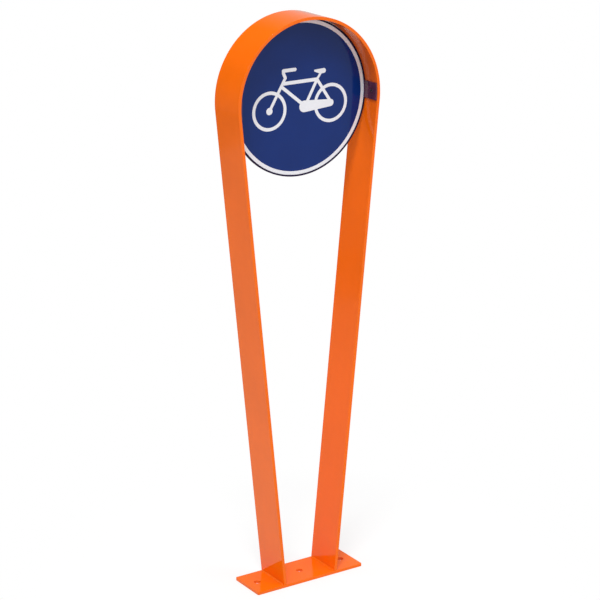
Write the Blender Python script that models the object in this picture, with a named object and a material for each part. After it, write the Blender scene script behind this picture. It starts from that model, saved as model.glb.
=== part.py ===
"""Signpost for cycle parking.

One flat steel band is rolled into a round arch, runs down in two converging straight legs and is
welded to a rectangular base plate.  A round sign stands inside the arch, at half the band's depth.
Two clips screwed to the band's inner face carry it by four studs on its back.

Metres, +Z up.  The sign faces -Y, and the origin lies under the middle of the base plate.
"""
import math

import bmesh
import bpy
from mathutils import Vector

# ---------------------------------------------------------------- driving dimensions
GAP = 0.0003                    # between pieces that touch on the real product

# Arch and legs: one band
OVERALL_HEIGHT = 1.500
BAND_THICKNESS = 0.008
BAND_DEPTH = 0.112
BAND_EDGE_ROUND = 0.0006
FOOT_SPREAD = 0.1666            # outside to outside of the two legs, where they meet the plate

# Base plate
BASE_LENGTH = 0.328
BASE_THICKNESS = 0.008
BASE_CORNER_RADIUS = 0.003
BASE_EDGE_ROUND = 0.0006
ANCHOR_HOLE_DIAMETER = 0.018
ANCHOR_HOLE_SPACING = 0.132     # centre to centre, three holes on the long middle line

# Fillet welds at the feet
WELD_LEG = 0.003
WELD_END_MARGIN = 0.003         # bare length of each leg past a weld's end
WELD_FULLNESS = 1.6             # 1 is a round bead, 2 a flat one
WELD_RUN_OUT = ((0, 0.45), (0.33, 0.8), (1, 1))     # (legs from its end, size there)

# Sign
SIGN_DIAMETER = 0.400           # over the edge trim
SIGN_CLEARANCE = 0.0008         # round the trim, inside the arch
SIGN_FACE_FORWARD = 0.002       # face in front of the band's middle plane
SIGN_FILM_THICKNESS = 0.0004
SIGN_PLATE_THICKNESS = 0.003
TRIM_WALL = 0.0015
TRIM_LIP = 0.0012
TRIM_LIP_REACH = 0.0043         # lip's width across the face, with the wall
TRIM_EDGE_ROUND = 0.0006

# Clips that carry the sign, one at each end of its level diameter
CLIP_HEIGHT = 0.044
CLIP_THICKNESS = 0.003
CLIP_PAD_MARGIN = 0.002         # band edge to pad edge
CLIP_TAB_REACH = 0.032
CLIP_BEND_RADIUS = 0.0015
CLIP_EDGE_ROUND = 0.0004

# Countersunk screws through the clips' pads into the band
SCREW_DIAMETER = 0.005
SCREW_HEAD_DIAMETER = 0.0092
SCREW_SUNK = 0.0001             # head below the pad's face
SCREW_FROM_MIDDLE = 0.032       # screw axis to the band's middle plane
SCREW_SOCKET_WIDTH = 0.003      # across flats
SCREW_SOCKET_DEPTH = 0.0014
SCREW_BLIND_FLOOR = 0.002       # band left behind the tapped hole

# Studs on the sign's back, with a washer and a nut on each
STUD_DIAMETER = 0.006
STUD_SPACING = 0.026            # upper to lower stud of a clip
STUD_FROM_PAD = 0.016           # stud axis to the pad's face
STUD_HOLE_CLEARANCE = 0.0005
STUD_PROUD = 0.003              # thread past the nut
STUD_CHAMFER = 0.0006
WASHER_DIAMETER = 0.012
WASHER_THICKNESS = 0.0016
NUT_WIDTH = 0.010               # across flats
NUT_HEIGHT = 0.005
NUT_FACE_DIAMETER = 0.0094      # flat ring inside the chamfer
NUT_CHAMFER = 0.0008            # at the corners

# Fineness of the round forms
ARCH_STEPS = 72
SIGN_STEPS = 56                 # each half of the sign's edge, between the clips
CLIP_STEPS = 7                  # odd, so that no facet ends on a screw's axis
CORNER_STEPS = 4
WELD_STEPS = 4
FASTENER_SIDES = 24
HOLE_SIDES = 32
HEX_SIDES = 6
SMOOTH_BELOW = math.radians(35)
CUT_MARGIN = 0.002              # how far a cutter runs past the faces it cuts
MERGE_DISTANCE = 0.00001

# ---------------------------------------------------------------- derived sizes
SIGN_RADIUS = SIGN_DIAMETER / 2
ARCH_INNER_RADIUS = SIGN_RADIUS + SIGN_CLEARANCE
ARCH_OUTER_RADIUS = ARCH_INNER_RADIUS + BAND_THICKNESS
ARCH_CENTRE_Z = OVERALL_HEIGHT - ARCH_OUTER_RADIUS
FOOT_Z = BASE_THICKNESS + GAP
BASE_DEPTH = BAND_DEPTH         # the plate's long edges are flush with the band's edges

FILM_FRONT_Y = -SIGN_FACE_FORWARD
FILM_BACK_Y = FILM_FRONT_Y + SIGN_FILM_THICKNESS
PLATE_FRONT_Y = FILM_BACK_Y + GAP
PLATE_BACK_Y = PLATE_FRONT_Y + SIGN_PLATE_THICKNESS
PLATE_RADIUS = SIGN_RADIUS - TRIM_WALL - GAP

PAD_OUTER_RADIUS = ARCH_INNER_RADIUS - GAP
PAD_INNER_RADIUS = PAD_OUTER_RADIUS - CLIP_THICKNESS
NOTCH_RADIUS = PAD_INNER_RADIUS - GAP
NOTCH_HALF_ANGLE = (CLIP_HEIGHT / 2 + GAP) / NOTCH_RADIUS
TAB_FRONT_Y = PLATE_BACK_Y + GAP
TAB_BACK_Y = TAB_FRONT_Y + CLIP_THICKNESS

STUD_X = PAD_INNER_RADIUS - STUD_FROM_PAD
WASHER_FRONT_Y = TAB_BACK_Y + GAP
WASHER_BACK_Y = WASHER_FRONT_Y + WASHER_THICKNESS
NUT_FRONT_Y = WASHER_BACK_Y + GAP
NUT_BACK_Y = NUT_FRONT_Y + NUT_HEIGHT

SIDES = {"left": -1, "right": 1}
LEVELS = {"upper": 1, "lower": -1}


# ---------------------------------------------------------------- scene and materials
def clear_scene():
    for item in list(bpy.data.objects):
        bpy.data.objects.remove(item, do_unlink=True)


def make_material(name, colour, roughness, metallic=0.0, coat=0.0):
    """A plain finish; the colour is linear RGB."""
    material = bpy.data.materials.new(name)
    material.use_nodes = True
    shader = material.node_tree.nodes["Principled BSDF"]
    shader.inputs["Base Color"].default_value = (*colour, 1.0)
    shader.inputs["Roughness"].default_value = roughness
    shader.inputs["Metallic"].default_value = metallic
    shader.inputs["Coat Weight"].default_value = coat
    material.diffuse_color = (*colour, 1.0)
    return material


def finish_colours():
    return {
        "orange_paint": make_material("orange_paint", (0.86, 0.16, 0.02), 0.22, coat=0.5),
        "blue_film": make_material("blue_film", (0.016, 0.040, 0.17), 0.20, coat=0.4),
        "plate_aluminium": make_material("plate_aluminium", (0.62, 0.63, 0.64), 0.38, metallic=1.0),
        "black_rubber": make_material("black_rubber", (0.018, 0.016, 0.022), 0.55),
        "dark_powder_coat": make_material("dark_powder_coat", (0.020, 0.014, 0.028), 0.30),
        "zinc_plate": make_material("zinc_plate", (0.55, 0.56, 0.58), 0.35, metallic=1.0),
        "stainless": make_material("stainless", (0.60, 0.60, 0.59), 0.28, metallic=1.0),
    }


# ---------------------------------------------------------------- mesh helpers
def make_object(name, mesh_data):
    """Turn a bmesh into a named object whose faces point out."""
    bmesh.ops.recalc_face_normals(mesh_data, faces=mesh_data.faces)
    if mesh_data.calc_volume(signed=True) < 0:
        bmesh.ops.reverse_faces(mesh_data, faces=mesh_data.faces)
    mesh = bpy.data.meshes.new(name)
    mesh_data.to_mesh(mesh)
    mesh_data.free()
    item = bpy.data.objects.new(name, mesh)
    bpy.context.scene.collection.objects.link(item)
    return item


def add_object(name, mesh_data, material):
    """A piece of the product, smooth along its curves and sharp at its edges."""
    item = make_object(name, mesh_data)
    item.data.materials.append(material)
    item.data.shade_smooth()
    item.data.set_sharp_from_angle(angle=SMOOTH_BELOW)
    return item


def add_cutter(name, mesh_data):
    """A shape that only cuts others; it is no part of the model."""
    cutter = make_object(name, mesh_data)
    cutter.hide_render = True
    cutter.display_type = "WIRE"
    return cutter


def cut(item, cutter):
    boolean = item.modifiers.new("cut_" + cutter.name, "BOOLEAN")
    boolean.operation = "DIFFERENCE"
    boolean.solver = "EXACT"
    boolean.object = cutter


def round_edges(item, width, segments=1):
    """Round the sharp edges only, so the facets of a curve stay as they are."""
    bevel = item.modifiers.new("edge_round", "BEVEL")
    bevel.width = width
    bevel.segments = segments
    bevel.limit_method = "ANGLE"
    bevel.angle_limit = SMOOTH_BELOW
    bevel.use_clamp_overlap = True


def sweep(sections, closed=False):
    """Skin a row of closed sections with equal point counts: capped at both ends, or a closed ring."""
    mesh_data = bmesh.new()
    loops = [[mesh_data.verts.new(point) for point in section] for section in sections]
    following_loops = loops[1:] + loops[:1] if closed else loops[1:]
    for near, far in zip(loops, following_loops):
        for index in range(len(near)):
            following = (index + 1) % len(near)
            mesh_data.faces.new((near[index], near[following], far[following], far[index]))
    if not closed:
        mesh_data.faces.new(loops[0])
        mesh_data.faces.new(reversed(loops[-1]))
    return mesh_data


def prism(outline, front_y, back_y):
    """Extrude an outline of (x, z) points from front_y to back_y."""
    return sweep([[Vector((x, y, z)) for x, z in outline] for y in (front_y, back_y)])


def turned(profile, origin, axis, sides):
    """Spin a profile of (distance along the axis, radius) points about an axis."""
    axis = Vector(axis)
    across = axis.orthogonal().normalized()
    mesh_data = bmesh.new()
    points = [Vector(origin) + axis * along + across * radius for along, radius in profile]
    verts = [mesh_data.verts.new(point) for point in points]
    edges = [mesh_data.edges.new(pair) for pair in zip(verts, verts[1:])]
    bmesh.ops.spin(mesh_data, geom=verts + edges, cent=Vector(origin), axis=axis,
                   angle=math.tau, steps=sides, use_merge=True)
    bmesh.ops.remove_doubles(mesh_data, verts=mesh_data.verts, dist=MERGE_DISTANCE)
    return mesh_data


def cylinder(origin, axis, start, end, radius, sides):
    profile = [(start, 0), (start, radius), (end, radius), (end, 0)]
    return turned(profile, origin, axis, sides)


def polar(radius, angle):
    """(x, z) at an angle on a circle about the arch's centre."""
    return radius * math.cos(angle), ARCH_CENTRE_Z + radius * math.sin(angle)


def spread(start, end, steps):
    return [start + (end - start) * index / steps for index in range(steps + 1)]


# ---------------------------------------------------------------- band and base
def leg_lean():
    """The legs' angle to the vertical, so that they run into the arch without a kink."""
    rise = ARCH_CENTRE_Z - FOOT_Z
    reach = math.hypot(FOOT_SPREAD / 2, rise)
    return math.asin(ARCH_OUTER_RADIUS / reach) - math.atan2(FOOT_SPREAD / 2, rise)


def foot_inner_x():
    return FOOT_SPREAD / 2 - BAND_THICKNESS / math.cos(leg_lean())


def build_arch_band(material):
    lean = leg_lean()
    pairs = [((FOOT_SPREAD / 2, FOOT_Z), (foot_inner_x(), FOOT_Z))]
    for angle in spread(-lean, math.pi + lean, ARCH_STEPS):
        pairs.append((polar(ARCH_OUTER_RADIUS, angle), polar(ARCH_INNER_RADIUS, angle)))
    pairs.append(((-FOOT_SPREAD / 2, FOOT_Z), (-foot_inner_x(), FOOT_Z)))
    half = BAND_DEPTH / 2
    sections = []
    for outer, inner in pairs:
        corners = ((outer, -half), (outer, half), (inner, half), (inner, -half))
        sections.append([Vector((x, y, z)) for (x, z), y in corners])
    band = add_object("arch_band", sweep(sections), material)
    round_edges(band, BAND_EDGE_ROUND)
    bite = ARCH_INNER_RADIUS + BAND_THICKNESS - SCREW_BLIND_FLOOR
    for name, side, y in clip_screw_places():
        hole = cylinder((0, y, ARCH_CENTRE_Z), (side, 0, 0), ARCH_INNER_RADIUS - CUT_MARGIN, bite,
                        SCREW_DIAMETER / 2 + GAP, FASTENER_SIDES // 2)
        cut(band, add_cutter("tapped_hole_" + name, hole))


def rounded_rectangle(length, depth, radius):
    """(x, y) outline with round corners."""
    outline = []
    corners = ((1, 1, 0), (-1, 1, 1), (-1, -1, 2), (1, -1, 3))
    for x_side, y_side, quarter in corners:
        centre_x = x_side * (length / 2 - radius)
        centre_y = y_side * (depth / 2 - radius)
        for angle in spread(quarter * math.pi / 2, (quarter + 1) * math.pi / 2, CORNER_STEPS):
            outline.append((centre_x + radius * math.cos(angle), centre_y + radius * math.sin(angle)))
    return outline


def build_base_plate(material):
    outline = rounded_rectangle(BASE_LENGTH, BASE_DEPTH, BASE_CORNER_RADIUS)
    sections = [[Vector((x, y, z)) for x, y in outline] for z in (0, BASE_THICKNESS)]
    plate = add_object("base_plate", sweep(sections), material)
    for place in (-1, 0, 1):
        hole = cylinder((place * ANCHOR_HOLE_SPACING, 0, 0), (0, 0, 1), -CUT_MARGIN,
                        BASE_THICKNESS + CUT_MARGIN, ANCHOR_HOLE_DIAMETER / 2, HOLE_SIDES)
        cut(plate, add_cutter("anchor_hole_%d" % (place + 2), hole))
    round_edges(plate, BASE_EDGE_ROUND)


def weld_sections(corner, away, up, half_length):
    """Sections of a bead between the plate (away) and a leg's face (up), tapered at its ends."""
    clear = GAP / away.cross(up).length
    root = corner + (away + up) * clear
    bead = [root]
    for angle in spread(0, math.pi / 2, WELD_STEPS):
        bead.append(root + WELD_LEG * (away * math.cos(angle) ** WELD_FULLNESS
                                       + up * math.sin(angle) ** WELD_FULLNESS))
    stations = [(-half_length + legs * WELD_LEG, size) for legs, size in WELD_RUN_OUT]
    stations += [(half_length - legs * WELD_LEG, size) for legs, size in reversed(WELD_RUN_OUT)]
    return [[root + (point - root) * size + Vector((0, y, 0)) for point in bead]
            for y, size in stations]


def build_foot_welds(material):
    lean = leg_lean()
    half_length = BAND_DEPTH / 2 - WELD_END_MARGIN
    for name, side in SIDES.items():
        up = Vector((side * math.sin(lean), 0, math.cos(lean)))
        faces = (("outer", FOOT_SPREAD / 2, side), ("inner", foot_inner_x(), -side))
        for face, x, direction in faces:
            corner = Vector((side * x, 0, BASE_THICKNESS))
            away = Vector((direction, 0, 0))
            bead = sweep(weld_sections(corner, away, up, half_length))
            add_object("foot_weld_%s_%s" % (name, face), bead, material)


# ---------------------------------------------------------------- sign
def notched_disc():
    """Outline of the sign's sheets: round, with a shallow notch round each clip's pad."""
    notch = NOTCH_HALF_ANGLE
    outline = []
    for turn in (0, math.pi):
        for angle in spread(turn - notch, turn + notch, CLIP_STEPS):
            outline.append(polar(NOTCH_RADIUS, angle))
        for angle in spread(turn + notch, turn + math.pi - notch, SIGN_STEPS):
            outline.append(polar(PLATE_RADIUS, angle))
    return outline


def build_sign_plate(material):
    add_object("sign_plate", prism(notched_disc(), PLATE_FRONT_Y, PLATE_BACK_Y), material)


def build_sign_face(material):
    add_object("sign_face", prism(notched_disc(), FILM_FRONT_Y, FILM_BACK_Y), material)


def trim_profile():
    """Channel section of the edge trim as (radius, y), with its outer corners rounded."""
    wall_out = SIGN_RADIUS
    wall_in = PLATE_RADIUS + GAP
    lip = SIGN_RADIUS - TRIM_LIP_REACH
    front_in = FILM_FRONT_Y - GAP
    back_in = PLATE_BACK_Y + GAP
    front_out = front_in - TRIM_LIP
    back_out = back_in + TRIM_LIP
    cut_back = TRIM_EDGE_ROUND
    return [
        (lip, front_in), (lip, front_out), (wall_out - cut_back, front_out),
        (wall_out, front_out + cut_back), (wall_out, back_out - cut_back),
        (wall_out - cut_back, back_out), (lip, back_out), (lip, back_in),
        (wall_in, back_in), (wall_in, front_in),
    ]


def build_edge_trims(material):
    start = (CLIP_HEIGHT / 2 + GAP) / (SIGN_RADIUS - TRIM_LIP_REACH)
    profile = trim_profile()
    for name, level in LEVELS.items():
        sections = []
        for angle in spread(level * start, level * (math.pi - start), SIGN_STEPS):
            section = []
            for radius, y in profile:
                x, z = polar(radius, angle)
                section.append(Vector((x, y, z)))
            sections.append(section)
        add_object("edge_trim_" + name, sweep(sections), material)


# ---------------------------------------------------------------- clips
def clip_screw_places():
    """(name, side, y) of each screw that holds a clip to the band."""
    places = []
    for name, side in SIDES.items():
        places.append((name + "_front", side, -SCREW_FROM_MIDDLE))
        places.append((name + "_rear", side, SCREW_FROM_MIDDLE))
    return places


def stud_places():
    """(name, x, z) of each stud on the sign's back."""
    places = []
    for side_name, side in SIDES.items():
        for level_name, level in LEVELS.items():
            height = ARCH_CENTRE_Z + level * STUD_SPACING / 2
            places.append((side_name + "_" + level_name, side * STUD_X, height))
    return places


def clip_section(side, z):
    """T-shaped section at a height above the arch's centre: the pad, and the tab behind the sign."""
    pad_out = math.sqrt(PAD_OUTER_RADIUS ** 2 - z ** 2)
    pad_in = math.sqrt(PAD_INNER_RADIUS ** 2 - z ** 2)
    tab_end = PAD_INNER_RADIUS - CLIP_TAB_REACH
    pad_edge = BAND_DEPTH / 2 - CLIP_PAD_MARGIN
    bend = CLIP_BEND_RADIUS
    points = [
        (pad_out, -pad_edge), (pad_out, pad_edge), (pad_in, pad_edge),
        (pad_in, TAB_BACK_Y + bend), (pad_in - bend, TAB_BACK_Y), (tab_end, TAB_BACK_Y),
        (tab_end, TAB_FRONT_Y), (pad_in, TAB_FRONT_Y), (pad_in, -pad_edge),
    ]
    return [Vector((side * x, y, ARCH_CENTRE_Z + z)) for x, y in points]


def build_clips(material):
    half = CLIP_HEIGHT / 2
    for name, side in SIDES.items():
        sections = [clip_section(side, z) for z in spread(-half, half, CLIP_STEPS)]
        clip = add_object("sign_clip_" + name, sweep(sections), material)
        round_edges(clip, CLIP_EDGE_ROUND)
        for screw_name, screw_side, y in clip_screw_places():
            if screw_side == side:
                origin = (0, y, ARCH_CENTRE_Z)
                seat = turned(screw_seat_profile(), origin, (side, 0, 0), FASTENER_SIDES)
                cut(clip, add_cutter("screw_seat_" + screw_name, seat))
        for stud_name, x, z in stud_places():
            if x * side > 0:
                hole = cylinder((x, 0, z), (0, 1, 0), TAB_FRONT_Y - CUT_MARGIN, TAB_BACK_Y + CUT_MARGIN,
                                STUD_DIAMETER / 2 + STUD_HOLE_CLEARANCE, FASTENER_SIDES)
                cut(clip, add_cutter("stud_hole_" + stud_name, hole))


# ---------------------------------------------------------------- fasteners
def screw_head_depth():
    """A 90 degree cone from the head's rim to the shank."""
    return (SCREW_HEAD_DIAMETER - SCREW_DIAMETER) / 2


def screw_seat_profile():
    """Countersunk hole in the pad, a gap wider than the screw."""
    face = PAD_INNER_RADIUS
    rim = SCREW_HEAD_DIAMETER / 2 + GAP
    shank = SCREW_DIAMETER / 2 + GAP
    under_head = face + SCREW_SUNK + screw_head_depth()
    return [(face - CUT_MARGIN, 0), (face - CUT_MARGIN, rim), (face + SCREW_SUNK, rim),
            (under_head, shank), (PAD_OUTER_RADIUS + CUT_MARGIN, shank),
            (PAD_OUTER_RADIUS + CUT_MARGIN, 0)]


def build_clip_screws(material):
    face = PAD_INNER_RADIUS + SCREW_SUNK
    shank = SCREW_DIAMETER / 2
    tip = ARCH_INNER_RADIUS + BAND_THICKNESS - SCREW_BLIND_FLOOR - GAP
    profile = [(face, 0), (face, SCREW_HEAD_DIAMETER / 2), (face + screw_head_depth(), shank),
               (tip - STUD_CHAMFER, shank), (tip, shank - STUD_CHAMFER), (tip, 0)]
    socket_radius = SCREW_SOCKET_WIDTH / math.sqrt(3)
    for name, side, y in clip_screw_places():
        origin = (0, y, ARCH_CENTRE_Z)
        axis = (side, 0, 0)
        screw = add_object("clip_screw_" + name, turned(profile, origin, axis, FASTENER_SIDES), material)
        socket = cylinder(origin, axis, face - CUT_MARGIN, face + SCREW_SOCKET_DEPTH,
                          socket_radius, HEX_SIDES)
        cut(screw, add_cutter("screw_socket_" + name, socket))


def build_studs(material):
    radius = STUD_DIAMETER / 2
    start = PLATE_BACK_Y + GAP
    end = NUT_BACK_Y + STUD_PROUD
    profile = [(start, 0), (start, radius), (end - STUD_CHAMFER, radius),
               (end, radius - STUD_CHAMFER), (end, 0)]
    for name, x, z in stud_places():
        add_object("sign_stud_" + name, turned(profile, (x, 0, z), (0, 1, 0), FASTENER_SIDES), material)


def build_washers(material):
    inner = STUD_DIAMETER / 2 + GAP
    outer = WASHER_DIAMETER / 2
    profile = [(WASHER_FRONT_Y, inner), (WASHER_FRONT_Y, outer), (WASHER_BACK_Y, outer),
               (WASHER_BACK_Y, inner), (WASHER_FRONT_Y, inner)]
    for name, x, z in stud_places():
        ring = turned(profile, (x, 0, z), (0, 1, 0), FASTENER_SIDES)
        add_object("sign_washer_" + name, ring, material)


def nut_section(angle):
    """(radius, y) round the nut's section at an angle: a hexagon whose corners are turned off."""
    from_flat = (angle + math.pi / HEX_SIDES) % (math.tau / HEX_SIDES) - math.pi / HEX_SIDES
    side = NUT_WIDTH / 2 / math.cos(from_flat)
    corner = NUT_WIDTH / math.sqrt(3)
    chamfer = NUT_CHAMFER * (side - NUT_FACE_DIAMETER / 2) / (corner - NUT_FACE_DIAMETER / 2)
    bore = STUD_DIAMETER / 2 + GAP
    return [(bore, NUT_FRONT_Y), (NUT_FACE_DIAMETER / 2, NUT_FRONT_Y), (side, NUT_FRONT_Y + chamfer),
            (side, NUT_BACK_Y - chamfer), (NUT_FACE_DIAMETER / 2, NUT_BACK_Y), (bore, NUT_BACK_Y)]


def build_nuts(material):
    for name, x, z in stud_places():
        sections = []
        for step in range(FASTENER_SIDES):
            angle = math.tau * step / FASTENER_SIDES
            sections.append([Vector((x + radius * math.sin(angle), y, z + radius * math.cos(angle)))
                             for radius, y in nut_section(angle)])
        add_object("sign_nut_" + name, sweep(sections, closed=True), material)


def main():
    clear_scene()
    finishes = finish_colours()
    build_arch_band(finishes["orange_paint"])
    build_base_plate(finishes["orange_paint"])
    build_foot_welds(finishes["orange_paint"])
    build_sign_plate(finishes["plate_aluminium"])
    build_sign_face(finishes["blue_film"])
    build_edge_trims(finishes["black_rubber"])
    build_clips(finishes["dark_powder_coat"])
    build_clip_screws(finishes["dark_powder_coat"])
    build_studs(finishes["stainless"])
    build_washers(finishes["zinc_plate"])
    build_nuts(finishes["zinc_plate"])


main()
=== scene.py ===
"""Dressed model of a cycle parking signpost: a bent steel band in orange paint, a welded foot plate
and a round blue sign held by two clips.  Metres, +Z up, the sign faces -Y."""

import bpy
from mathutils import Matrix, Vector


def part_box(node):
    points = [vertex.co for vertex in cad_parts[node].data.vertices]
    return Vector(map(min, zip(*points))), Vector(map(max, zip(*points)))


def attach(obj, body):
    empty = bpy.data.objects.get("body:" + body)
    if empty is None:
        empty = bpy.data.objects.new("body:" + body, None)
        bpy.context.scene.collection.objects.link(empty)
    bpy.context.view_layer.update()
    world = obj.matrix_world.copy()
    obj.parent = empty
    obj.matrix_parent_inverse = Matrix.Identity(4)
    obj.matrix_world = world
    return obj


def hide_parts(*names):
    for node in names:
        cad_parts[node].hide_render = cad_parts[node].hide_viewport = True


bl_info = {
    "name": "Cycle parking signpost",
    "version": (1, 0, 0),
    "blender": (4, 5, 0),
    "location": "3D View > Sidebar > Signpost",
    "description": "Makes the painted band, the foot plate, the sign and its fixings",
    "category": "Object",
}

import math

import bmesh
import bpy
from mathutils import Matrix, Vector

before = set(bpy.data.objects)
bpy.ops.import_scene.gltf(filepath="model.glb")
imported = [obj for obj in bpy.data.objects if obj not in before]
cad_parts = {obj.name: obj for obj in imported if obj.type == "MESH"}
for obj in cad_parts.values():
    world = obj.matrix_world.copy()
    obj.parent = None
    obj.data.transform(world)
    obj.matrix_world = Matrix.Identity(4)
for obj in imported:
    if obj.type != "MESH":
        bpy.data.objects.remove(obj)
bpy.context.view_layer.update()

MM = 0.001
BODY = "root"


def node_box(node):
    """Lowest and highest corner of a solid of the frame."""
    low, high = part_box(node)
    return Vector(low), Vector(high)


# ---------------------------------------------------------------- places that the frame gives
BAND_LOW, BAND_HIGH = node_box("arch_band")
PLATE_LOW, PLATE_HIGH = node_box("base_plate")
FILM_LOW, FILM_HIGH = node_box("sign_face")
SHEET_LOW, SHEET_HIGH = node_box("sign_plate")
TRIM_HIGH = node_box("edge_trim_upper")[1]
CLIP_LOW, CLIP_HIGH = node_box("sign_clip_right")
WASHER_LOW, WASHER_HIGH = node_box("sign_washer_right_upper")
NUT_LOW, NUT_HIGH = node_box("sign_nut_right_upper")
STUD_LOW, STUD_HIGH = node_box("sign_stud_right_upper")
SCREW_LOW, SCREW_HIGH = node_box("clip_screw_right_front")

ARCH_RADIUS = BAND_HIGH.x
ARCH_CENTRE_Z = BAND_HIGH.z - ARCH_RADIUS
BAND_DEPTH = BAND_HIGH.y - BAND_LOW.y
FOOT_Z = BAND_LOW.z
PLATE_TOP_Z = PLATE_HIGH.z
SIGN_RADIUS = TRIM_HIGH.z - ARCH_CENTRE_Z
STUD_X = (STUD_LOW.x + STUD_HIGH.x) / 2
STUD_RISE = (STUD_LOW.z + STUD_HIGH.z) / 2 - ARCH_CENTRE_Z
SCREW_Y = -(SCREW_LOW.y + SCREW_HIGH.y) / 2

SIDES = {"left": -1, "right": 1}
LEVELS = {"upper": 1, "lower": -1}

# Fixed sizes that the frame's boxes don't give, and what follows from them
GAP = 0.3 * MM                  # between pieces that touch
CUT_MARGIN = 2 * MM             # how far a cutter runs past the face that it starts from
BAND_THICKNESS = 8 * MM
BAND_FACE_MARGIN = 1.6 * MM     # keeps the band's flat faces clear of its rounded edges
FOOT_SPREAD = 166.6 * MM
ANCHOR_SPACING = 132 * MM
WELD_LEG = 3 * MM
WELD_MARGIN = 3 * MM
WELD_FULLNESS = 1.6             # 1 is a round bead, 2 a flat one
WELD_END_SIZE = 0.45            # a bead's size at its very end
WELD_WAVE_DEPTH = 0.075         # a ripple's depth, as a share of the bead's size
WELD_WAVE_SHAPE = 0.7           # below 1, the ripples are broad and the lines between them narrow
WELD_WAVE_LAG = 0.45            # how far a ripple trails at the middle of the bead, in ripples
TRIM_WALL = 1.5 * MM
TRIM_LIP = 1.2 * MM
TRIM_LIP_EDGE = SIGN_RADIUS - 4.3 * MM
TRIM_CROWN = 0.6 * MM
SHEET_RADIUS = SIGN_RADIUS - TRIM_WALL - GAP
SHEET_EDGE_ROUND = 0.3 * MM
PAD_OUTER = CLIP_HIGH.x
PAD_INNER = PAD_OUTER - 3 * MM
TAB_FRONT_Y = SHEET_HIGH.y + GAP
TAB_BACK_Y = WASHER_LOW.y - GAP
CLIP_HALF_HEIGHT = (CLIP_HIGH.z - CLIP_LOW.z) / 2
CLIP_BEND = 1.5 * MM
CLIP_EDGE_ROUND = 0.4 * MM
SCREW_HEAD_DIAMETER = 9.2 * MM
SCREW_SHANK_DIAMETER = 5 * MM
SCREW_SUNK = 0.1 * MM           # head below the pad's face
SCREW_LAND = 0.15 * MM
SCREW_TIP_CHAMFER = 0.6 * MM
SCREW_BLIND_FLOOR = 2 * MM      # band left behind the tapped hole
SCREW_SOCKET_WIDTH = 3 * MM
SCREW_SOCKET_DEPTH = 1.4 * MM
SCREW_SOCKET_CONE = 0.5 * MM
STUD_DIAMETER = 6 * MM
STUD_HOLE_CLEARANCE = 0.5 * MM
STUD_CHAMFER = 0.7 * MM
THREAD_PITCH = 1 * MM
THREAD_DEPTH = 0.55 * MM
THREAD_FALL, THREAD_FLAT = 1.25, 0.12   # how steeply a thread falls, and what its flat crest takes off
NUT_WIDTH = 10 * MM
NUT_FACE_DIAMETER = 9.4 * MM
NUT_CHAMFER = 0.8 * MM
NUT_COUNTERSINK = 0.35 * MM
WASHER_EDGE = 0.2 * MM
PRINT_LIFT = 0.002 * MM         # keeps the drawing's shapes from sharing a plane while they are joined
SAME_POINT = 0.0005 * MM        # corners closer than this are one corner
NO_FACE = 0.002 * MM            # faces thinner than this are closed up
NO_TURN = 1e-12                 # an outline that turns less than this goes straight on

# The bicycle's drawing, in millimetres from the sign's centre
FRONT_HUB, REAR_HUB = (-86.9, -24.7), (94.5, -23.9)
FORK_TOP, STEM_TOP, BAR_BEND = (-39.9, 53.5), (-45.5, 65.5), (-45.5, 71.8)
SEAT_CLUSTER = (53.9, 40.2)
# Round-ended lines: start, end, width and, where it isn't the same, the width at the end
BICYCLE_LINES = (
    (FRONT_HUB, FRONT_HUB, 18.2),                   # hub
    (FRONT_HUB, FORK_TOP, 8.0),                     # fork
    (FORK_TOP, STEM_TOP, 8.6),                      # head tube
    (STEM_TOP, BAR_BEND, 8.6),                      # stem
    (BAR_BEND, (-11.4, 71.9), 9.0),                 # handlebar
    ((-44.5, 39.8), SEAT_CLUSTER, 9.0),             # top tube
    ((-47.4, 29.4), (10.2, -17.4), 8.5),            # down tube
    ((25.8, -10.0), SEAT_CLUSTER, 8.2),             # seat tube
    (SEAT_CLUSTER, (64.8, 55.0), 6.4),              # saddle post
    (SEAT_CLUSTER, (91.6, -16.6), 8.0),             # seat stay
    ((15.9, -24.2), REAR_HUB, 29.6, 18.0),          # chain guard
)
# Nose, seat and underside of the saddle: x, z and radius of the circles that it is drawn round
SADDLE_ROUNDS = ((47.6, 62.3, 2.5), (74.0, 59.8, 6.2), (63.8, 57.2, 4.2))

# How finely shapes are divided
LEG_STEPS, ARCH_STEPS = 14, 168
SHEET_STEPS, NOTCH_STEPS = 150, 14
RING_SIDES, WHEEL_SIDES, LINE_END_SIDES = 256, 96, 40
HOLE_SIDES, BOLT_SIDES, SMALL_SIDES = 64, 72, 48
THREAD_SIDES, THREAD_STEPS = 24, 6      # round a stud, and along one turn of its thread
RIPPLE_STEPS, BEAD_STEPS = 5, 8         # along one ripple of a weld, and across its bead
EDGE_STEPS, LIP_STEPS, BEND_STEPS = 4, 6, 5
CORNER_STEPS, CLIP_STEPS = 8, 15

# Edges that are steeper than this many degrees are kept sharp
SHARP, SHARP_ON_NUTS, SHARP_ON_BEADS = 35, 28, 50


# ---------------------------------------------------------------- what a user may change
def length_property(name, description, default, low, high):
    """A length whose default and limits are given in millimetres."""
    return bpy.props.FloatProperty(name=name, description=description, default=default * MM,
                                   min=low * MM, max=high * MM, subtype="DISTANCE", unit="LENGTH")


def colour_property(name, description, default):
    return bpy.props.FloatVectorProperty(name=name, description=description, default=default, size=3,
                                         min=0, max=1, subtype="COLOR")


def power_property(name, description, default, high):
    return bpy.props.FloatProperty(name=name, description=description, default=default, min=0, max=high,
                                   subtype="POWER", unit="POWER")


def share_property(name, description, default, low, high):
    return bpy.props.FloatProperty(name=name, description=description, default=default, min=low, max=high,
                                   subtype="FACTOR")


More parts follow.
